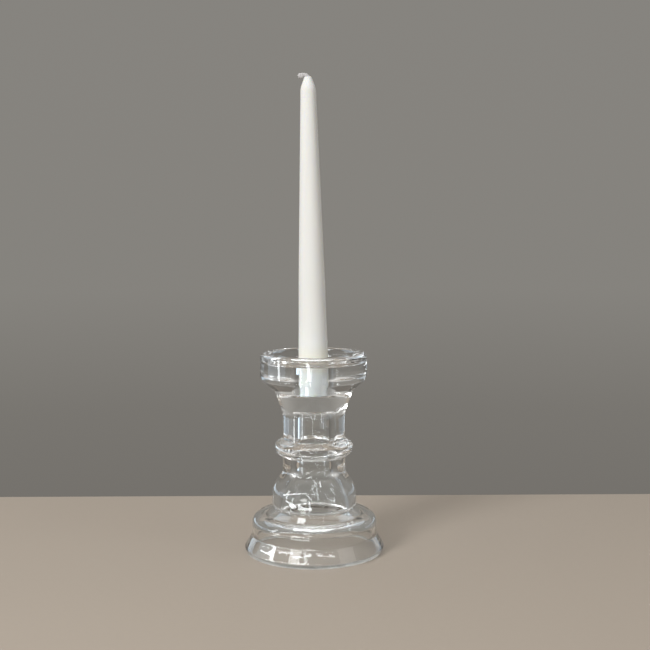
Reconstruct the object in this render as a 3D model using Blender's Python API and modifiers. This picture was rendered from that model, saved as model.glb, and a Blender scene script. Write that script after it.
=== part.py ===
"""A pressed-glass candlestick with a white taper candle standing in its socket.

The holder is one piece of clear glass: a shallow cup with a taper socket in its middle, a neck, a
round knop, a bulb and a bell foot, all hollow from below. The candle is a wax body with a braided
cotton wick through its middle. It leans a little in the socket, which it fits loosely, and it lifts
straight up out of it.

World frame in metres, +Z up. The origin is the middle of the face that the foot rests on.
Outlines are (radius, height, rounding) corners in millimetres, which MM turns into metres.
"""
import math

import bpy

MM = 0.001
CONTACT_GAP = 0.3

# --- Holder: driving dimensions, from the rim down
HOLDER_HEIGHT = 150.0
CUP_RADIUS = 40.0
CUP_WALL_BOTTOM = 130.6
CUP_UNDERSIDE = 121.8
THROAT_RADIUS = 29.4
RIM_ROUNDING = 3.4
RIM_WIDTH = 6.4
DISH_RADIUS = 32.0
DISH_DEPTH = 8.0
SOCKET_RADIUS = 11.4
SOCKET_DEPTH = 21.5
NECK_TOP = 104.0
NECK_RADIUS = 23.3
KNOP_MIDDLE = 78.8
KNOP_RADIUS = 29.4
KNOP_HALF_HEIGHT = 3.6
KNOP_TOP_SLOPE = 2.6
KNOP_BOTTOM_SLOPE = 3.0
KNOP_ROUNDING = 4.4
WAIST_RADIUS = 23.6
WAIST_BOTTOM = 60.2
BULB_SHOULDER = 48.2
BULB_RADIUS = 31.8
BULB_BOTTOM = 34.2
CREASE_RADIUS = 29.2
CREASE_HEIGHT = 33.6
FOOT_TOP = 28.4
FOOT_TOP_INNER_RADIUS = 36.0
FOOT_RING_RADIUS = 47.0
FOOT_RING_BOTTOM = 13.2
BASE_RADIUS = 52.8
BASE_EDGE_HEIGHT = 3.4
BEARING_INNER_RADIUS = 49.4
BEARING_OUTER_RADIUS = 51.4

# --- Holder: the hollow inside
FOOT_WALL = 3.8
BULB_CAVITY_BOTTOM = (25.4, 30.8)
BULB_CAVITY_SHOULDER = (22.6, 44.0)
STEM_CAVITY_BOTTOM = (11.6, 61.0)
STEM_CAVITY_RADIUS = 10.7
STEM_CAVITY_TOP = 109.0

# --- Candle: driving dimensions
CANDLE_RADIUS = 11.0
CANDLE_BUTT = 24.0
CANDLE_MIDDLE = (9.8, 82.0)
CANDLE_TAPER_TOP = (5.9, 215.0)
CANDLE_SHOULDER = (5.7, 224.0)
CANDLE_TIP_RADIUS = 2.6
CANDLE_LENGTH = 232.4
CANDLE_LEAN = math.radians(0.75)
WICK_RADIUS = 1.1
WICK_FOLD = 1.6
WICK_REACH = 6.6
WICK_LIFT = 0.3

# --- Facets
HOLDER_STEPS = 48
CANDLE_STEPS = 32
CHORD_ERROR = 0.1

# --- Places that follow from the driving dimensions
DISH_FLOOR = HOLDER_HEIGHT - DISH_DEPTH
SOCKET_FLOOR = DISH_FLOOR - SOCKET_DEPTH
CANDLE_BOTTOM = SOCKET_FLOOR + CONTACT_GAP + CANDLE_RADIUS * math.sin(CANDLE_LEAN)
CANDLE_SHIFT = SOCKET_DEPTH / 2 * math.tan(CANDLE_LEAN)


def clear_scene():
    for old in list(bpy.data.objects):
        bpy.data.objects.remove(old, do_unlink=True)


def new_collection(name):
    made = bpy.data.collections.new(name)
    bpy.context.scene.collection.children.link(made)
    return made


def principled(name, colour, roughness, transmission=0.0, ior=1.5):
    material = bpy.data.materials.new(name)
    material.use_nodes = True
    shader = material.node_tree.nodes["Principled BSDF"]
    shader.inputs["Base Color"].default_value = (*colour, 1.0)
    shader.inputs["Roughness"].default_value = roughness
    shader.inputs["Metallic"].default_value = 0.0
    shader.inputs["Transmission Weight"].default_value = transmission
    shader.inputs["IOR"].default_value = ior
    material.diffuse_color = (*colour, 1.0)
    return material


def corner_arc(before, corner, after, radius):
    """Points of the arc that rounds one corner, tangent to both of its sides."""
    to_before = (before[0] - corner[0], before[1] - corner[1])
    to_after = (after[0] - corner[0], after[1] - corner[1])
    reach_before = math.hypot(*to_before)
    reach_after = math.hypot(*to_after)
    unit_before = (to_before[0] / reach_before, to_before[1] / reach_before)
    unit_after = (to_after[0] / reach_after, to_after[1] / reach_after)
    inside = math.acos(unit_before[0] * unit_after[0] + unit_before[1] * unit_after[1])
    turn = math.pi - inside
    tangent = radius * math.tan(turn / 2)
    middle = (unit_before[0] + unit_after[0], unit_before[1] + unit_after[1])
    scale = radius / math.sin(inside / 2) / math.hypot(*middle)
    centre = (corner[0] + middle[0] * scale, corner[1] + middle[1] * scale)
    start = (corner[0] + unit_before[0] * tangent, corner[1] + unit_before[1] * tangent)
    end = (corner[0] + unit_after[0] * tangent, corner[1] + unit_after[1] * tangent)
    first = math.atan2(start[1] - centre[1], start[0] - centre[0])
    last = math.atan2(end[1] - centre[1], end[0] - centre[0])
    sweep = (last - first + math.pi) % (2 * math.pi) - math.pi
    step = 2 * math.acos(1 - CHORD_ERROR / radius)
    count = max(1, math.ceil(turn / step))
    angles = [first + sweep * index / count for index in range(count + 1)]
    return [(centre[0] + radius * math.cos(a), centre[1] + radius * math.sin(a)) for a in angles]


def rounded_outline(corners):
    """Turn (radius, height, rounding) corners into points, with an arc at each rounded corner."""
    points = []
    for index, (radius, height, rounding) in enumerate(corners):
        if rounding == 0:
            points.append((radius, height))
            continue
        before = corners[index - 1]
        after = corners[(index + 1) % len(corners)]
        points.extend(corner_arc(before, (radius, height), after, rounding))
    return points


def turned(name, outline, steps, closed, material, collection):
    """Revolve an outline about Z. An open outline starts and ends on the axis."""
    mesh = bpy.data.meshes.new(name)
    vertices = [(radius * MM, 0.0, height * MM) for radius, height in outline]
    edges = [(index, index + 1) for index in range(len(outline) - 1)]
    if closed:
        edges.append((len(outline) - 1, 0))
    mesh.from_pydata(vertices, edges, [])
    part = bpy.data.objects.new(name, mesh)
    collection.objects.link(part)
    screw = part.modifiers.new("turn", "SCREW")
    screw.axis = "Z"
    screw.steps = steps
    screw.render_steps = steps
    screw.use_merge_vertices = True
    screw.merge_threshold = 0.00001
    screw.use_smooth_shade = True
    mesh.materials.append(material)
    return part


def holder_top_corners():
    """The socket and the dish, from the middle of the socket floor out to the rim."""
    return [
        (0.0, SOCKET_FLOOR, 0),
        (SOCKET_RADIUS, SOCKET_FLOOR, 1.5),
        (SOCKET_RADIUS, DISH_FLOOR, 1.2),
        (DISH_RADIUS, DISH_FLOOR, 5.0),
        (CUP_RADIUS - RIM_WIDTH, HOLDER_HEIGHT, RIM_ROUNDING),
    ]


def holder_outer_corners():
    """The holder's outside, from the rim down to the ring that it rests on."""
    knop_top = KNOP_MIDDLE + KNOP_HALF_HEIGHT
    knop_bottom = KNOP_MIDDLE - KNOP_HALF_HEIGHT
    return [
        (CUP_RADIUS, HOLDER_HEIGHT, RIM_ROUNDING),
        (CUP_RADIUS, CUP_WALL_BOTTOM, 7.0),
        (THROAT_RADIUS, CUP_UNDERSIDE, 1.0),
        (NECK_RADIUS, NECK_TOP, 9.8),
        (NECK_RADIUS, knop_top + KNOP_TOP_SLOPE, 1.2),
        (KNOP_RADIUS, knop_top, KNOP_ROUNDING),
        (KNOP_RADIUS, knop_bottom, KNOP_ROUNDING),
        (WAIST_RADIUS, knop_bottom - KNOP_BOTTOM_SLOPE, 1.2),
        (WAIST_RADIUS, WAIST_BOTTOM, 7.0),
        (BULB_RADIUS, BULB_SHOULDER, 16.0),
        (BULB_RADIUS, BULB_BOTTOM, 3.0),
        (CREASE_RADIUS, CREASE_HEIGHT, 0.6),
        (FOOT_TOP_INNER_RADIUS, FOOT_TOP, 3.0),
        (FOOT_RING_RADIUS, FOOT_TOP, 6.7),
        (FOOT_RING_RADIUS, FOOT_RING_BOTTOM, 3.0),
        (BASE_RADIUS, BASE_EDGE_HEIGHT, 1.9),
        (BEARING_OUTER_RADIUS, 0.0, 0),
    ]


def holder_inner_corners():
    """The hollow, from the resting ring up: bell foot, bulb, and the core of the stem."""
    wall_radius = FOOT_RING_RADIUS - FOOT_WALL
    roof = FOOT_TOP - FOOT_WALL
    return [
        (BEARING_INNER_RADIUS, 0.0, 0),
        (wall_radius + 0.4, FOOT_RING_BOTTOM - 1.4, 3.0),
        (wall_radius, roof, 5.0),
        (FOOT_TOP_INNER_RADIUS - 1.6, roof, 3.0),
        (*BULB_CAVITY_BOTTOM, 3.0),
        (*BULB_CAVITY_SHOULDER, 10.0),
        (*STEM_CAVITY_BOTTOM, 10.0),
        (STEM_CAVITY_RADIUS, STEM_CAVITY_TOP, 2.0),
        (0.0, STEM_CAVITY_TOP, 0),
    ]


def make_holder(collection):
    glass = principled("clear_glass", (0.93, 0.95, 0.95), 0.02, transmission=1.0)
    corners = holder_top_corners() + holder_outer_corners() + holder_inner_corners()
    return turned("glass_holder", rounded_outline(corners), HOLDER_STEPS, False, glass, collection)


def stand_in_socket(part):
    """Lean a piece of the candle towards -X about the middle of the socket's depth."""
    part.location = (CANDLE_SHIFT * MM, 0.0, CANDLE_BOTTOM * MM)
    part.rotation_euler = (0.0, -CANDLE_LEAN, 0.0)


def make_candle(collection):
    """The wax body, its butt centred on the object's origin, with a hole through for the wick."""
    wax = principled("white_wax", (0.83, 0.82, 0.77), 0.42, ior=1.44)
    bore = WICK_RADIUS + CONTACT_GAP
    corners = [
        (bore, CANDLE_LENGTH, 0),
        (CANDLE_TIP_RADIUS, CANDLE_LENGTH, 0.9),
        (*CANDLE_SHOULDER, 14.0),
        (*CANDLE_TAPER_TOP, 0),
        (*CANDLE_MIDDLE, 260.0),
        (CANDLE_RADIUS, CANDLE_BUTT, 0),
        (CANDLE_RADIUS, 0.0, 1.0),
        (bore, 0.0, 0),
    ]
    candle = turned("taper_candle", rounded_outline(corners), CANDLE_STEPS, True, wax, collection)
    stand_in_socket(candle)
    return candle


def wick_route():
    """Straight up the middle of the wax, then folded over towards -X just above the tip."""
    top = CANDLE_LENGTH
    route = [(0.0, 1.0), (0.0, top * 0.5), (0.0, top)]
    for index in range(1, 7):
        turn = math.radians(90) * index / 6
        along = WICK_FOLD * (1 - math.cos(turn))
        route.append((-along, top + WICK_FOLD * math.sin(turn)))
    for share in (0.4, 0.7, 1.0):
        along = WICK_FOLD + (WICK_REACH - WICK_FOLD) * share
        route.append((-along, top + WICK_FOLD + WICK_LIFT * share ** 2))
    return route


def make_wick(collection):
    cotton = principled("cotton", (0.58, 0.57, 0.57), 0.9)
    curve = bpy.data.curves.new("wick", "CURVE")
    curve.dimensions = "3D"
    curve.bevel_depth = WICK_RADIUS * MM
    curve.bevel_resolution = 2
    curve.use_fill_caps = True
    route = wick_route()
    spline = curve.splines.new("POLY")
    spline.points.add(len(route) - 1)
    for point, (x, z) in zip(spline.points, route):
        point.co = (x * MM, 0.0, z * MM, 1.0)
    curve.materials.append(cotton)
    wick = bpy.data.objects.new("wick", curve)
    collection.objects.link(wick)
    stand_in_socket(wick)
    return wick


def main():
    clear_scene()
    parts = new_collection("glass_candlestick")
    make_holder(parts)
    make_candle(parts)
    make_wick(parts)


main()
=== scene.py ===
"""Looks of a pressed-glass candlestick with a white taper candle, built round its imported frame.

The glass holder, the wax and the wick each replace their own CAD node. The turned pieces take
their outlines from the nodes' meshes, so they keep the CAD's shape and get finer surfaces.
Everything is in metres; MM turns millimetres into metres.
"""

import math
import random

import bmesh
import bpy
from mathutils import Matrix, Vector, noise


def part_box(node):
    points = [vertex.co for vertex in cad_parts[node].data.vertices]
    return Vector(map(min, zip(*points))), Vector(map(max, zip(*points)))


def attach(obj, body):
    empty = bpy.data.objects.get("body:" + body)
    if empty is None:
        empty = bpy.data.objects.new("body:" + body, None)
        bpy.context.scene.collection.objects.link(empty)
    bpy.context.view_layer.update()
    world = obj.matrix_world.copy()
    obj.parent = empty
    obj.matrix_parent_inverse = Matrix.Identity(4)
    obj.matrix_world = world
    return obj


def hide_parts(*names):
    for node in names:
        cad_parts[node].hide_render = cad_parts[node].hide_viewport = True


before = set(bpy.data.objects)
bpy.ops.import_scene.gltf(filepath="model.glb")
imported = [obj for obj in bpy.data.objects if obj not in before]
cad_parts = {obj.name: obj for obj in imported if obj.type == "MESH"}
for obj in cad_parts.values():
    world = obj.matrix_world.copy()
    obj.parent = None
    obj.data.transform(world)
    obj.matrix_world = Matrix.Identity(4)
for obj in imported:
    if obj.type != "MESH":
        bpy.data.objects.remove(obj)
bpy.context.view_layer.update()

MM = 0.001

# --- Outlines: how close to the plane a point counts as on it, which corners get rounded and
# by how much, how much longer a straight run is than a curve's chords, and the finest steps.
ON_PLANE = 0.002 * MM
SHARP_TURN = math.radians(55)
EDGE_BREAK = 0.35 * MM
RUN_RATIO = 2.0
LONGEST_STEP = 2.2 * MM
TURN_STEP = math.radians(7)

# --- Glass. Waves are (height, wavelength, seed). The flat ring it stands on has none.
GLASS_STEPS = 216
GLASS_IOR = 1.5
SEAM_ANGLES = (-63, 57, 177)
SEAM_HEIGHT = 0.06 * MM
SEAM_START = 6
RESTING_BAND = 0.4 * MM
INNER_WAVES = ((0.16 * MM, 17 * MM, 3), (0.03 * MM, 6 * MM, 9))
OUTER_WAVES = ((0.05 * MM, 15 * MM, 1), (0.012 * MM, 5 * MM, 5))

# --- Wax
CANDLE_LEAN = math.radians(0.75)
CANDLE_STEPS = 128
SOCKET_DEPTH = 21.5 * MM
WAX_WAVES = ((0.07 * MM, 14 * MM, 2), (0.02 * MM, 4 * MM, 4))
WAX_WAVE_STRETCH = 0.35
BORE_BAND = 0.2 * MM

# --- Wick: its line, its tuft, and its strands, whose sizes are shares of the wick's radius
WICK_BOTTOM = 1 * MM
WICK_STRAIGHT_END = 4 * MM
WICK_FOLD = 1.3 * MM
WICK_RISE = 1.2 * MM
WICK_DROOP = 2.4 * MM
WICK_SWAY = 0.35 * MM
WICK_STEPS = 8
WICK_TUFT = 6.5 * MM
TUFT_SWELL = 0.75
STRANDS = 6
STRAND_SIDES = 8
STRAND_RADIUS = 0.44
STRAND_ORBIT = 0.5
WEAVE_DEPTH = 0.10
PLAIT_PITCH = 4.6 * MM
PLAIT_STEP = 0.22 * MM
TAPER_POINTS = 6

# --- Loose fibres at the wick's end. Lift, sway and curl are the most a fibre strays.
FRAY_COUNT = 54
FRAY_POINTS = 6
FRAY_RADIUS = 0.09 * MM
FRAY_LIFT = 1.0
FRAY_SWAY = 0.75
FRAY_CURL = 0.8
FRAY_LENGTHS = (0.4, 1.2)
FRAY_ROOTS = (0.2, 2.6)

# --- Camera
CAMERA_PLACE = Vector((8.76, -795.25, 239.7)) * MM
CAMERA_TILT = math.radians(4.962)
CAMERA_ROLL = math.radians(-0.266)
CAMERA_LENS = 59.17
CAMERA_SENSOR = 36.0

# --- Stage: the floor's corners, and the room's colour from straight down (0) to straight up (1)
FLOOR_LOW = Vector((-0.75, -1.3, -0.03))
FLOOR_HIGH = Vector((0.75, 0.166, 0.0))
FLOOR_BEVEL = 2 * MM
ROOM_COLOURS = (
    (0.0, (0.10, 0.09, 0.08, 1)),
    (0.38, (0.190, 0.180, 0.163, 1)),
    (0.46, (0.236, 0.226, 0.207, 1)),
    (0.66, (0.240, 0.230, 0.212, 1)),
    (0.8, (0.45, 0.44, 0.42, 1)),
    (1.0, (0.75, 0.73, 0.70, 1)),
)
SIDE_SHADE = 0.65

# --- Light. A place is (azimuth, distance, height), see around().
STUDIO_AIM = (0.0, 0.0, 0.18)
STUDIO_COLOUR = (1.0, 1.0, 0.99)
# Studio lamps that light everything: name, place, side, radiance.
STUDIO = (
    ("key", (-38, 1.5, 0.9), 0.55, 21.5),
    ("fill", (62, 1.5, 0.7), 0.8, 1.7),
)
DAY = (0.93, 0.97, 1.0)
SKY = (0.66, 0.83, 1.0)
LINE_AIM = Vector((0.0, 0.0, 0.09))
# Strip lamps: name, places from end to end, thickness, radiance.
WINDOW_LINES = (
    ("window_left", ((-76, 0.42, 0.27), (-76, 0.42, 0.0)), 0.04, 13.0),
    ("window_right", ((-6, 0.38, 0.06), (-20, 0.33, 0.20)), 0.03, 13.0),
    ("window_sill", ((-76, 0.20, 0.004), (-40, 0.165, 0.004), (-6, 0.165, 0.004)), 0.007, 16.0),
    ("corner", ((-14, 0.42, 0.50), (8, 0.42, 0.64)), 0.018, 8.0),
)
# The rail's reflection runs as a thin bright line along the foot's skirt.
OUTER_LINES = (
    ("beam", ((-70.56, 0.9014, 0.25), (38.66, 0.3842, 0.25)), 0.035, 18.0),
    ("rail", (
        (-107.0, 1.2, 0.428), (-95.0, 1.2, 0.548), (-82.4, 1.2, 0.669), (-69.1, 1.2, 0.787),
        (-54.9, 1.2, 0.899), (-39.9, 1.2, 0.997), (-24.2, 1.2, 1.071), (-7.9, 1.2, 1.111),
        (8.6, 1.2, 1.111), (24.8, 1.2, 1.07), (40.6, 1.2, 0.996),
    ), 0.0035, 22.0),
)
# Lamps above: name, position, size, radiance.
CEILING_AIM = (0.0, -0.05, 0.03)
CEILING = (
    ("overhead", (-0.06, 0.0, 0.62), (0.30, 0.08), 16.0),
    ("skylight", (-0.02, -0.14, 0.55), (0.46, 0.32), 15.0),
)
# Upright cards: name, azimuth, bottom, top, width, radiance.
CARD_DISTANCE = 0.36
SKY_CARDS = (
    ("left_sky", -84, 0.01, 0.11, 0.34, 1.5),
    ("right_sky", 122, 0.06, 0.26, 0.10, 0.12),
)
OUTER_CARDS = (
    ("left_low", -125, 0.02, 0.075, 0.30, 2.0),
    ("right_low", 125, 0.02, 0.075, 0.30, 1.0),
    ("left_high", -125, 0.27, 0.60, 0.30, 2.6),
    ("right_high", 125, 0.27, 0.60, 0.30, 2.6),
)


# ---------------------------------------------------------------- outlines of turned pieces

def plane_points(node, upright):
    """A turned node's mesh points in its half-plane y = 0, x >= 0, and how they are linked."""
    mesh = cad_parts[node].data
    places = {}
    keys = {}
    for vertex in mesh.vertices:
        point = upright @ vertex.co
        if abs(point.y) < ON_PLANE and point.x > -ON_PLANE:
            key = (round(point.x / MM, 2), round(point.z / MM, 2))
            keys[vertex.index] = key
            places.setdefault(key, (max(point.x, 0.0), point.z))
    links = {key: set() for key in places}
    for edge in mesh.edges:
        first, second = (keys.get(index) for index in edge.vertices)
        if first and second and first != second:
            links[first].add(second)
            links[second].add(first)
    return places, links


def read_outline(node, upright=Matrix.Identity(4)):
    """The (radius, height) points of a turned node's outline, in order, and if it is a loop."""
    places, links = plane_points(node, upright)
    ends = [key for key in links if len(links[key]) == 1]
    closed = not ends
    start = max(ends or links, key=lambda key: (key[1], -key[0]))
    onward = max(links[start], key=lambda key: key[0])
    order = [start]
    while onward != start:
        order.append(onward)
        further = [key for key in links[onward] if key != order[-2]]
        if not further:
            break
        onward = further[0]
    outline = [places[key] for key in order]
    if not closed:
        outline = [(0.0, outline[0][1]), *outline, (0.0, outline[-1][1])]
    return outline, closed


def direction(start, end):
    across, along = end[0] - start[0], end[1] - start[1]
    length = math.hypot(across, along)
    return (across / length, along / length), length


def turn_between(first, second):
    dot = first[0] * second[0] + first[1] * second[1]
    return math.acos(max(-1.0, min(1.0, dot)))


def neighbours(points, index, closed):
    last = len(points) - 1
    if closed:
        return points[index - 1], points[(index + 1) % len(points)]
    return points[max(index - 1, 0)], points[min(index + 1, last)]


def break_edges(points, closed):
    """Cut each sharp corner back a little on both sides, so that it gets rounded as well."""
    broken = []
    for index, point in enumerate(points):
        before, after = neighbours(points, index, closed)
        if point in (before, after):
            broken.append(point)
            continue
        into, length_in = direction(before, point)
        out, length_out = direction(point, after)
        if turn_between(into, out) < SHARP_TURN:
            broken.append(point)
            continue
        cut_in = min(EDGE_BREAK, length_in / 3)
        cut_out = min(EDGE_BREAK, length_out / 3)
        broken.append((point[0] - into[0] * cut_in, point[1] - into[1] * cut_in))
        broken.append((point[0] + out[0] * cut_out, point[1] + out[1] * cut_out))
    return broken


def tangent_at(points, index, closed):
    """The outline's direction at a point. A long run keeps its own direction to its very end."""
    before, after = neighbours(points, index, closed)
    point = points[index]
    if before == point:
        return direction(point, after)[0]
    if after == point:
        return direction(before, point)[0]
    into, length_in = direction(before, point)
    out, length_out = direction(point, after)
    if length_in > RUN_RATIO * length_out:
        return into
    if length_out > RUN_RATIO * length_in:
        return out
    return direction((0.0, 0.0), (into[0] + out[0], into[1] + out[1]))[0]


def curve_points(start, end, leave, arrive):
    """Points along a smooth curve from start up to, but not including, end."""
    length = direction(start, end)[1]
    turn = turn_between(leave, arrive)
    count = max(1, math.ceil(length / LONGEST_STEP), math.ceil(turn / TURN_STEP))
    points = []
    for step in range(count):
        t = step / count
        from_start = 2 * t ** 3 - 3 * t ** 2 + 1
        from_end = 1 - from_start
        pull_start = (t ** 3 - 2 * t ** 2 + t) * length
        pull_end = (t ** 3 - t ** 2) * length
        points.append(tuple(
            from_start * start[axis] + from_end * end[axis]
            + pull_start * leave[axis] + pull_end * arrive[axis]
            for axis in (0, 1)
        ))
    return points


def smooth_outline(points, closed):
    """A fine outline through the points of a faceted one."""
    points = break_edges(points, closed)
    tangents = [tangent_at(points, index, closed) for index in range(len(points))]
    count = len(points) if closed else len(points) - 1
    fine = []
    for index in range(count):
        after = (index + 1) % len(points)
        fine.extend(curve_points(points[index], points[after], tangents[index], tangents[after]))
    if not closed:
        fine.append(points[-1])
    return fine


def outward_normals(outline, closed):
    """A unit (radius, height) normal at each point of an outline that has its solid on the right."""
    normals = []
    for index in range(len(outline)):
        before, after = neighbours(outline, index, closed)
        along = direction(before, after)[0]
        normals.append((-along[1], along[0]))
    return normals


# ---------------------------------------------------------------- meshes

def new_object(name, mesh, material):
    mesh.materials.append(material)
    made = bpy.data.objects.new(name, mesh)
    bpy.context.scene.collection.objects.link(made)
    return made


def finish_mesh(name, form):
    bmesh.ops.recalc_face_normals(form, faces=form.faces)
    mesh = bpy.data.meshes.new(name)
    form.to_mesh(mesh)
    form.free()
    mesh.shade_smooth()
    return mesh


def turned_mesh(name, outline, closed, steps, place):
    """Revolve an outline about Z. place(index, angle) gives the point for one outline point."""
    form = bmesh.new()
    rings = []
    for index, (radius, height) in enumerate(outline):
        if radius < ON_PLANE:
            rings.append([form.verts.new((0.0, 0.0, height))])
            continue
        angles = (2 * math.pi * step / steps for step in range(steps))
        rings.append([form.verts.new(place(index, angle)) for angle in angles])
    pairs = list(zip(rings, rings[1:]))
    if closed:
        pairs.append((rings[-1], rings[0]))
    for lower, upper in pairs:
        for step in range(steps):
            after = (step + 1) % steps
            corners = []
            for ring, order in ((lower, (step, after)), (upper, (after, step))):
                corners.extend([ring[0]] if len(ring) == 1 else [ring[i] for i in order])
            form.faces.new(corners)
    return finish_mesh(name, form)


def waves(point, sizes):
    """Smooth noise added up from waves of (height, wavelength, seed)."""
    return sum(
        height * noise.noise(point / wavelength + Vector((seed, seed * 1.7, -seed)))
        for height, wavelength, seed in sizes
    )


# ---------------------------------------------------------------- materials

def new_material(name):
    material = bpy.data.materials.new(name)
    material.use_nodes = True
    tree = material.node_tree
    return material, tree, tree.nodes["Principled BSDF"]


def add(tree, kind, inputs=(), **settings):
    """A new node with its settings and inputs. An input's value may be another node's output."""
    node = tree.nodes.new(kind)
    for name, value in settings.items():
        setattr(node, name, value)
    for name, value in dict(inputs).items():
        feed(tree, node.inputs[name], value)
    return node


def feed(tree, socket, value):
    if isinstance(value, bpy.types.NodeSocket):
        tree.links.new(value, socket)
    else:
        socket.default_value = value


def object_place(tree):
    return add(tree, "ShaderNodeTexCoord").outputs["Object"]


def grain(tree, place, scale, detail=2.0, stretch=(1.0, 1.0, 1.0)):
    """Noise in the object's own metres. scale is how many features fit in a metre."""
    mapped = add(tree, "ShaderNodeMapping", {"Vector": place, "Scale": stretch})
    inputs = {"Vector": mapped.outputs[0], "Scale": scale, "Detail": detail}
    return add(tree, "ShaderNodeTexNoise", inputs).outputs[0]


def spread(tree, value, low, high, to_low, to_high):
    inputs = {"Value": value, "From Min": low, "From Max": high, "To Min": to_low, "To Max": to_high}
    return add(tree, "ShaderNodeMapRange", inputs, interpolation_type="SMOOTHSTEP").outputs[0]


def blend_colours(tree, share, first, second):
    node = add(tree, "ShaderNodeMix", data_type="RGBA")
    feed(tree, node.inputs[0], share)
    feed(tree, node.inputs[6], first)
    feed(tree, node.inputs[7], second)
    return node.outputs[2]


def maths(tree, operation, first, second):
    node = add(tree, "ShaderNodeMath", operation=operation)
    feed(tree, node.inputs[0], first)
    feed(tree, node.inputs[1], second)
    return node.outputs[0]


def height_of(tree, place):
    return add(tree, "ShaderNodeSeparateXYZ", {"Vector": place}).outputs["Z"]


def bumped(tree, height, strength, distance, normal=None):
    inputs = {"Height": height, "Strength": strength, "Distance": distance}
    if normal is not None:
        inputs["Normal"] = normal
    return add(tree, "ShaderNodeBump", inputs).outputs[0]


def glass_material():
    """Clear pressed glass: fire-polished ripples, a faint haze and a scuffed resting ring."""
    material, tree, shader = new_material("clear_glass_looks")
    place = object_place(tree)
    tint = blend_colours(
        tree, grain(tree, place, 30), (0.962, 0.982, 0.985, 1), (0.988, 0.99, 0.985, 1)
    )
    haze = spread(tree, grain(tree, place, 55, 5), 0.52, 0.78, 0.0, 0.05)
    worn = spread(tree, height_of(tree, place), 0.3 * MM, 1.6 * MM, 1.0, 0.0)
    scuffs = spread(tree, grain(tree, place, 900, 4), 0.35, 0.65, 0.04, 0.42)
    rough = maths(tree, "MAXIMUM", haze, maths(tree, "MULTIPLY", worn, scuffs))
    normal = bumped(tree, grain(tree, place, 170, 1.0), 0.5, 0.02 * MM)
    feed(tree, shader.inputs["Base Color"], tint)
    feed(tree, shader.inputs["Roughness"], rough)
    feed(tree, shader.inputs["Normal"], normal)
    shader.inputs["Transmission Weight"].default_value = 1.0
    shader.inputs["IOR"].default_value = GLASS_IOR
    return material


def wax_material(mouth):
    """White wax, creamier just above the socket's mouth, with faint streaks, a satin skin and painted
    shade below the mouth.
    """
    material, tree, shader = new_material("white_wax_looks")
    place = object_place(tree)
    streaks = grain(tree, place, 260, 3, stretch=(1.0, 1.0, 0.05))
    clouds = grain(tree, place, 60, 3, stretch=(1.0, 1.0, 0.5))
    white = blend_colours(tree, streaks, (0.82, 0.83, 0.815, 1), (0.88, 0.89, 0.88, 1))
    cream = blend_colours(tree, clouds, (0.785, 0.77, 0.68, 1), (0.825, 0.815, 0.745, 1))
    level = maths(tree, "ADD", height_of(tree, place), maths(tree, "MULTIPLY", clouds, 6 * MM))
    above = spread(tree, level, mouth + 5 * MM, mouth + 20 * MM, 1.0, 0.0)
    # Below the socket's mouth the wax gets a slightly darker, bluer copy of its colour: painted shade
    # and painted blue light for the wax seen inside the glass.
    below = spread(tree, level, mouth - 4 * MM, mouth + 3 * MM, 0.0, 1.0)
    painted_socket_shade = blend_colours(tree, clouds, (0.76, 0.79, 0.80, 1), (0.82, 0.85, 0.86, 1))
    upper = blend_colours(tree, above, white, cream)
    feed(tree, shader.inputs["Base Color"], blend_colours(tree, below, painted_socket_shade, upper))
    feed(tree, shader.inputs["Roughness"], spread(tree, clouds, 0.3, 0.7, 0.36, 0.52))
    skin = bumped(tree, grain(tree, place, 1500, 3), 0.25, 0.03 * MM)
    normal = bumped(tree, streaks, 0.5, 0.12 * MM, skin)
    feed(tree, shader.inputs["Normal"], normal)
    shader.inputs["Subsurface Weight"].default_value = 0.35
    shader.inputs["Subsurface Radius"].default_value = (1.0, 0.85, 0.6)
    shader.inputs["Subsurface Scale"].default_value = 2.5 * MM
    shader.inputs["IOR"].default_value = 1.44
    return material


def cotton_material():
    """Waxed cotton: off-white plaited yarn with fine fibres along it."""
    material, tree, shader = new_material("cotton_looks")
    place = add(tree, "ShaderNodeTexCoord").outputs["UV"]
    fibres = grain(tree, place, 1.0, 3, stretch=(9.0, 1.6, 1.0))
    patches = grain(tree, object_place(tree), 420, 2)
    yarn = blend_colours(tree, fibres, (0.40, 0.39, 0.40, 1), (0.72, 0.71, 0.72, 1))
    waxed = blend_colours(tree, patches, (0.58, 0.57, 0.58, 1), (0.78, 0.77, 0.78, 1))
    share = spread(tree, patches, 0.4, 0.7, 0.2, 0.8)
    feed(tree, shader.inputs["Base Color"], blend_colours(tree, share, yarn, waxed))
    feed(tree, shader.inputs["Roughness"], spread(tree, patches, 0.3, 0.7, 0.88, 0.55))
    feed(tree, shader.inputs["Normal"], bumped(tree, fibres, 0.8, 0.08 * MM))
    shader.inputs["Sheen Weight"].default_value = 0.3
    return material


def floor_material():
    """A plain pale surface with a fine, even grain."""
    material, tree, shader = new_material("pale_floor")
    place = object_place(tree)
    fine = grain(tree, place, 240, 4)
    broad = grain(tree, place, 3, 2)
    shade = maths(tree, "ADD", maths(tree, "MULTIPLY", fine, 0.25), maths(tree, "MULTIPLY", broad, 0.5))
    feed(tree, shader.inputs["Base Color"],
         blend_colours(tree, shade, (0.40, 0.345, 0.29, 1), (0.45, 0.39, 0.33, 1)))
    feed(tree, shader.inputs["Roughness"], spread(tree, broad, 0.3, 0.7, 0.5, 0.62))
    feed(tree, shader.inputs["Normal"], bumped(tree, fine, 0.2, 0.1 * MM))
    return material


# ---------------------------------------------------------------- the glass holder

def seam_rise(angle):
    """The mould's parting lines: a ridge one facet wide at three places round the holder."""
    facet = 2 * math.pi / GLASS_STEPS
    for seam in SEAM_ANGLES:
        gap = (angle - math.radians(seam) + math.pi) % (2 * math.pi) - math.pi
        if abs(gap) < facet / 2:
            return SEAM_HEIGHT
    return 0.0


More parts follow.
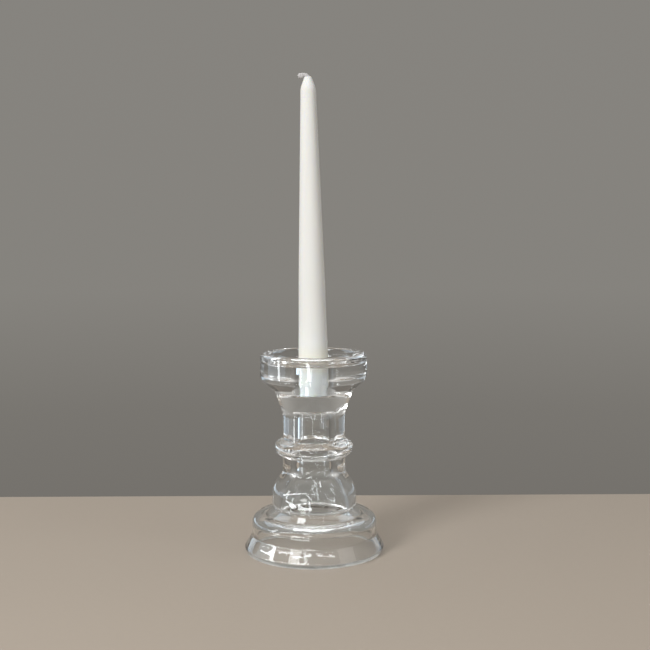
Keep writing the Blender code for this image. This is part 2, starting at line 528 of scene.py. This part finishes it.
def holder_surface(outline, closed):
    """A place function for the holder: the outline, with moulded glass's small unevenness."""
    normals = outward_normals(outline, closed)
    highest = max(range(len(outline)), key=lambda index: outline[index][1])
    lowest = min(range(len(outline)), key=lambda index: outline[index][1])
    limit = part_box("glass_holder")[1]

    def place(index, angle):
        radius, height = outline[index]
        spot = Vector((radius * math.cos(angle), radius * math.sin(angle), height))
        inside = index > lowest + 2
        rise = waves(spot, INNER_WAVES if inside else OUTER_WAVES)
        if highest + SEAM_START < index < lowest:
            rise += seam_rise(angle)
        if height < RESTING_BAND:
            rise = 0.0
        across, along = normals[index]
        radius = min(radius + across * rise, limit.x)
        height = min(max(height + along * rise, 0.0), limit.z)
        return (radius * math.cos(angle), radius * math.sin(angle), height)

    return place


def make_holder():
    outline, closed = read_outline("glass_holder")
    outline = smooth_outline(outline, closed)
    surface = holder_surface(outline, closed)
    mesh = turned_mesh("pressed_glass_holder", outline, closed, GLASS_STEPS, surface)
    holder = new_object("pressed_glass_holder", mesh, glass_material())
    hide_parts("glass_holder")
    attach(holder, "holder")
    return holder


# ---------------------------------------------------------------- the candle

def candle_axes():
    """Matrix from the candle's own frame, on its axis at its butt, to the leaning candle."""
    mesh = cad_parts["taper_candle"].data
    lean = Matrix.Rotation(-CANDLE_LEAN, 4, "Y")
    straight = [lean.inverted() @ vertex.co for vertex in mesh.vertices]
    middle = (max(point.x for point in straight) + min(point.x for point in straight)) / 2
    bottom = min(point.z for point in straight)
    return Matrix.Translation(lean @ Vector((middle, 0.0, bottom))) @ lean


def wax_surface(outline, closed):
    """A place function for the wax: the outline, a little out of round and softly waved."""
    normals = outward_normals(outline, closed)
    bore = min(radius for radius, _ in outline)

    def place(index, angle):
        radius, height = outline[index]
        level = height * WAX_WAVE_STRETCH
        spot = Vector((radius * math.cos(angle), radius * math.sin(angle), level))
        rise = 0.0 if radius < bore + BORE_BAND else waves(spot, WAX_WAVES)
        across, along = normals[index]
        radius += across * rise
        return (radius * math.cos(angle), radius * math.sin(angle), height + along * rise)

    return place


def make_wax(axes):
    outline, closed = read_outline("taper_candle", axes.inverted())
    outline = smooth_outline(outline, closed)
    surface = wax_surface(outline, closed)
    mesh = turned_mesh("wax_taper", outline, closed, CANDLE_STEPS, surface)
    wax = new_object("wax_taper", mesh, wax_material(SOCKET_DEPTH))
    wax.matrix_world = axes
    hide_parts("taper_candle")
    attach(wax, "candle")
    return wax


def wick_line(axes):
    """Points up the candle's middle, over the tip and out towards -X, in the candle's frame."""
    low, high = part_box("wick")
    reach = (axes.inverted() @ Vector((low.x, 0.0, high.z))).x
    top = (axes.inverted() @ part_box("taper_candle")[1]).z
    heights = (WICK_BOTTOM, top / 2, top - WICK_STRAIGHT_END, top)
    points = [Vector((0.0, 0.0, height)) for height in heights]
    for step in range(1, WICK_STEPS + 1):
        turn = math.radians(90) * step / WICK_STEPS
        across, up = WICK_FOLD * (math.cos(turn) - 1), WICK_FOLD * math.sin(turn)
        points.append(Vector((across, 0.0, top + up)))
    for step in range(1, WICK_STEPS + 1):
        share = step / WICK_STEPS
        along = -WICK_FOLD + (reach + WICK_FOLD) * share
        sway = WICK_SWAY * math.sin(share * 5)
        hump = WICK_RISE * share - WICK_DROOP * share ** 2
        points.append(Vector((along, sway, top + WICK_FOLD + hump)))
    return points


def resample(points, step):
    """Points an even step apart along a line, each with how far along it is."""
    spaced = []
    travelled = 0.0
    due = 0.0
    for start, end in zip(points, points[1:]):
        length = (end - start).length
        while due <= travelled + length:
            spaced.append((start.lerp(end, (due - travelled) / length), due))
            due += step
        travelled += length
    return spaced


def tube(form, path, radii, uv_layer):
    """A closed tube along a path, with U round it and V along it in millimetres."""
    side = Vector((0.0, 1.0, 0.0))
    rings = []
    lengths = [0.0]
    for index, point in enumerate(path):
        before, after = path[max(index - 1, 0)], path[min(index + 1, len(path) - 1)]
        along = (after - before).normalized()
        first = (side - along * side.dot(along)).normalized()
        second = along.cross(first)
        ring = []
        for corner in range(STRAND_SIDES):
            angle = 2 * math.pi * corner / STRAND_SIDES
            offset = first * math.cos(angle) + second * math.sin(angle)
            ring.append(form.verts.new(point + offset * radii[index]))
        rings.append(ring)
        if index:
            lengths.append(lengths[-1] + (point - path[index - 1]).length)
    for index, (lower, upper) in enumerate(zip(rings, rings[1:])):
        for corner in range(STRAND_SIDES):
            after = (corner + 1) % STRAND_SIDES
            face = form.faces.new((lower[corner], lower[after], upper[after], upper[corner]))
            columns = (corner, corner + 1, corner + 1, corner)
            rows = (index, index, index + 1, index + 1)
            for loop, column, row in zip(face.loops, columns, rows):
                loop[uv_layer].uv = (column / STRAND_SIDES, lengths[row] / MM)
    form.faces.new(rings[0][::-1])
    form.faces.new(rings[-1])


def swelling(travelled, length):
    """How much thicker the wick is than its plait, along its last few millimetres."""
    share = min(max(1 - (length - travelled) / WICK_TUFT, 0.0), 1.0)
    return 1 + TUFT_SWELL * share * share * (3 - 2 * share)


def plait_paths(points, radius):
    """Strands that wind both ways round the wick's line and weave over and under each other."""
    core = resample(points, PLAIT_STEP)
    side = Vector((0.0, 1.0, 0.0))
    paths = []
    for strand in range(STRANDS):
        way = 1 if strand % 2 else -1
        start = 2 * math.pi * (strand // 2) / (STRANDS / 2)
        path = []
        for index, (point, travelled) in enumerate(core):
            ahead = core[min(index + 1, len(core) - 1)][0]
            behind = core[max(index - 1, 0)][0]
            along = (ahead - behind).normalized()
            second = along.cross(side)
            turn = start + way * 2 * math.pi * travelled / PLAIT_PITCH
            orbit = STRAND_ORBIT + WEAVE_DEPTH * math.cos(way * turn * STRANDS / 2)
            orbit *= radius * swelling(travelled, core[-1][1])
            path.append(point + (side * math.cos(turn) + second * math.sin(turn)) * orbit)
        paths.append(path)
    return paths


def strand_radii(count, radius):
    """A strand's radius at each of its points: thicker in the tuft, tapering at its very end."""
    length = PLAIT_STEP * (count - 1)
    radii = [radius * STRAND_RADIUS * swelling(PLAIT_STEP * step, length) for step in range(count)]
    for back in range(TAPER_POINTS):
        radii[-1 - back] *= 0.7 + 0.05 * back
    return radii


def fray_paths(points, radius):
    """Loose fibre ends that fan out of the wick's tuft. Their lengths are in millimetres."""
    draw = random.Random(11)
    end = points[-1]
    heading = (points[-1] - points[-3]).normalized()
    paths = []
    for _ in range(FRAY_COUNT):
        lift = draw.uniform(-FRAY_LIFT, FRAY_LIFT)
        sway = draw.uniform(-FRAY_SWAY, FRAY_SWAY)
        curl = draw.uniform(-FRAY_CURL, FRAY_CURL)
        length = draw.uniform(*FRAY_LENGTHS) * MM
        root = end - heading * draw.uniform(*FRAY_ROOTS) * MM
        root += Vector((0.0, sway, lift)) * radius
        path = []
        for step in range(FRAY_POINTS):
            share = step / (FRAY_POINTS - 1)
            bend = Vector((0.0, sway * 0.5 + curl * share, lift * 0.5 + curl * share * 0.4))
            path.append(root + (heading + bend * share) * length * share)
        paths.append(path)
    return paths


def make_wick(axes):
    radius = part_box("wick")[1].x
    points = wick_line(axes)
    form = bmesh.new()
    uv_layer = form.loops.layers.uv.new("UVMap")
    for path in plait_paths(points, radius):
        tube(form, path, strand_radii(len(path), radius), uv_layer)
    fray_radii = [FRAY_RADIUS * (1.1 - step / FRAY_POINTS) for step in range(FRAY_POINTS)]
    for path in fray_paths(points, radius):
        tube(form, path, fray_radii, uv_layer)
    wick = new_object("braided_wick", finish_mesh("braided_wick", form), cotton_material())
    wick.matrix_world = axes
    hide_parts("wick")
    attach(wick, "candle")
    return wick


# ---------------------------------------------------------------- stage, light and camera

def make_floor():
    """A pale slab with softened edges. Its back edge is close behind the holder."""
    form = bmesh.new()
    bmesh.ops.create_cube(form, size=1.0)
    for vertex in form.verts:
        vertex.co = Vector(
            FLOOR_LOW[axis] if vertex.co[axis] < 0 else FLOOR_HIGH[axis] for axis in range(3)
        )
    bmesh.ops.bevel(form, geom=form.edges, offset=FLOOR_BEVEL, segments=3, affect="EDGES")
    mesh = bpy.data.meshes.new("floor")
    form.to_mesh(mesh)
    form.free()
    floor = new_object("floor", mesh, floor_material())


def softbox(name, place, aim, size, radiance, colour):
    """A rectangular area light whose face shines with the given radiance."""
    light = bpy.data.lights.new(name, "AREA")
    light.shape = "RECTANGLE"
    light.size, light.size_y = size
    light.energy = radiance * math.pi * size[0] * size[1]
    light.color = colour
    lamp = bpy.data.objects.new(name, light)
    bpy.context.scene.collection.objects.link(lamp)
    lamp.location = place
    lamp.rotation_euler = (Vector(aim) - Vector(place)).to_track_quat("-Z", "Y").to_euler()
    lamp.visible_camera = False
    return lamp


def around(azimuth, distance, height):
    """A place that far from the axis. Azimuth 0 is towards the camera, and +90 is +X."""
    angle = math.radians(azimuth)
    return Vector((distance * math.sin(angle), -distance * math.cos(angle), height))


def card(name, azimuth, bottom, top, width, radiance):
    """An upright card close to the holder that shines a pale blue."""
    middle = (bottom + top) / 2
    place = around(azimuth, CARD_DISTANCE, middle)
    return softbox(name, place, (0.0, 0.0, middle), (width, top - bottom), radiance, SKY)


def light_line(name, places, thickness, radiance):
    """Thin strip lights from place to place that face the middle of the holder."""
    spots = [around(*place) for place in places]
    strips = []
    for index, (start, end) in enumerate(zip(spots, spots[1:])):
        middle = (start + end) / 2
        size = ((end - start).length, thickness)
        strip = softbox(f"{name}_{index}", middle, LINE_AIM, size, radiance, DAY)
        facing = (LINE_AIM - middle).normalized()
        across = (end - start).normalized()
        across = (across - facing * across.dot(facing)).normalized()
        upward = (-facing).cross(across)
        strip.rotation_euler = Matrix((across, upward, -facing)).transposed().to_euler()
        strips.append(strip)
    return strips


def glass_lights():
    """The bright lines and pale blue panels of a daylit room, close in, for the glass to show."""
    lamps = [strip for line in WINDOW_LINES for strip in light_line(*line)]
    lamps += [card(*sky) for sky in SKY_CARDS]
    outer = [strip for line in OUTER_LINES for strip in light_line(*line)]
    for name, place, size, radiance in CEILING:
        outer.append(softbox(name, place, CEILING_AIM, size, radiance, DAY))
    outer += [card(*sky) for sky in OUTER_CARDS]
    for lamp in outer:
        lamp.visible_transmission = False
    return lamps + outer


def make_lights(glass):
    """A soft key and a weak fill for everything, and lights that only the glass shows."""
    for name, place, side, radiance in STUDIO:
        size = (side, side)
        lamp = softbox(name, around(*place), STUDIO_AIM, size, radiance, STUDIO_COLOUR)
        lamp.visible_glossy = False
    shown_in = bpy.data.collections.new("shown_in_glass")
    shown_in.objects.link(glass)
    for lamp in glass_lights():
        lamp.light_linking.receiver_collection = shown_in


def make_world():
    """A soft grey room: a mid grey wall behind, light overhead, and darker on the other sides."""
    world = bpy.data.worlds.new("soft_room")
    bpy.context.scene.world = world
    world.use_nodes = True
    tree = world.node_tree
    heading = add(tree, "ShaderNodeSeparateXYZ", {
        "Vector": add(tree, "ShaderNodeTexCoord").outputs["Generated"]
    })
    up, back = heading.outputs["Z"], heading.outputs["Y"]
    ramp = add(tree, "ShaderNodeValToRGB", {"Fac": spread(tree, up, -1.0, 1.0, 0.0, 1.0)})
    stops = ramp.color_ramp.elements
    stops[0].color, stops[1].color = ROOM_COLOURS[0][1], ROOM_COLOURS[-1][1]
    for position, colour in ROOM_COLOURS[1:-1]:
        stops.new(position).color = colour
    shade = maths(tree, "MAXIMUM", spread(tree, back, 0.3, 0.85, SIDE_SHADE, 1.0),
                  spread(tree, up, 0.55, 0.8, SIDE_SHADE, 1.0))
    background = tree.nodes["Background"]
    tree.links.new(ramp.outputs["Color"], background.inputs["Color"])
    tree.links.new(shade, background.inputs["Strength"])


def make_camera():
    data = bpy.data.cameras.new("camera")
    data.lens = CAMERA_LENS
    data.sensor_width = CAMERA_SENSOR
    data.clip_start = 0.01
    camera = bpy.data.objects.new("camera", data)
    bpy.context.scene.collection.objects.link(camera)
    turn = Matrix.Rotation(math.pi / 2 - CAMERA_TILT, 4, "X")
    roll = Matrix.Rotation(CAMERA_ROLL, 4, "Z")
    camera.matrix_world = Matrix.Translation(CAMERA_PLACE) @ turn @ roll
    bpy.context.scene.camera = camera


def set_light_paths():
    """Enough bounces for light to get through all of the glass walls."""
    scene = bpy.context.scene
    scene.cycles.max_bounces = 24
    scene.cycles.transmission_bounces = 24
    scene.cycles.glossy_bounces = 12
    scene.view_settings.view_transform = "Standard"


def main():
    make_camera()
    make_floor()
    make_world()
    set_light_paths()
    make_lights(make_holder())
    axes = candle_axes()
    make_wax(axes)
    make_wick(axes)


main()
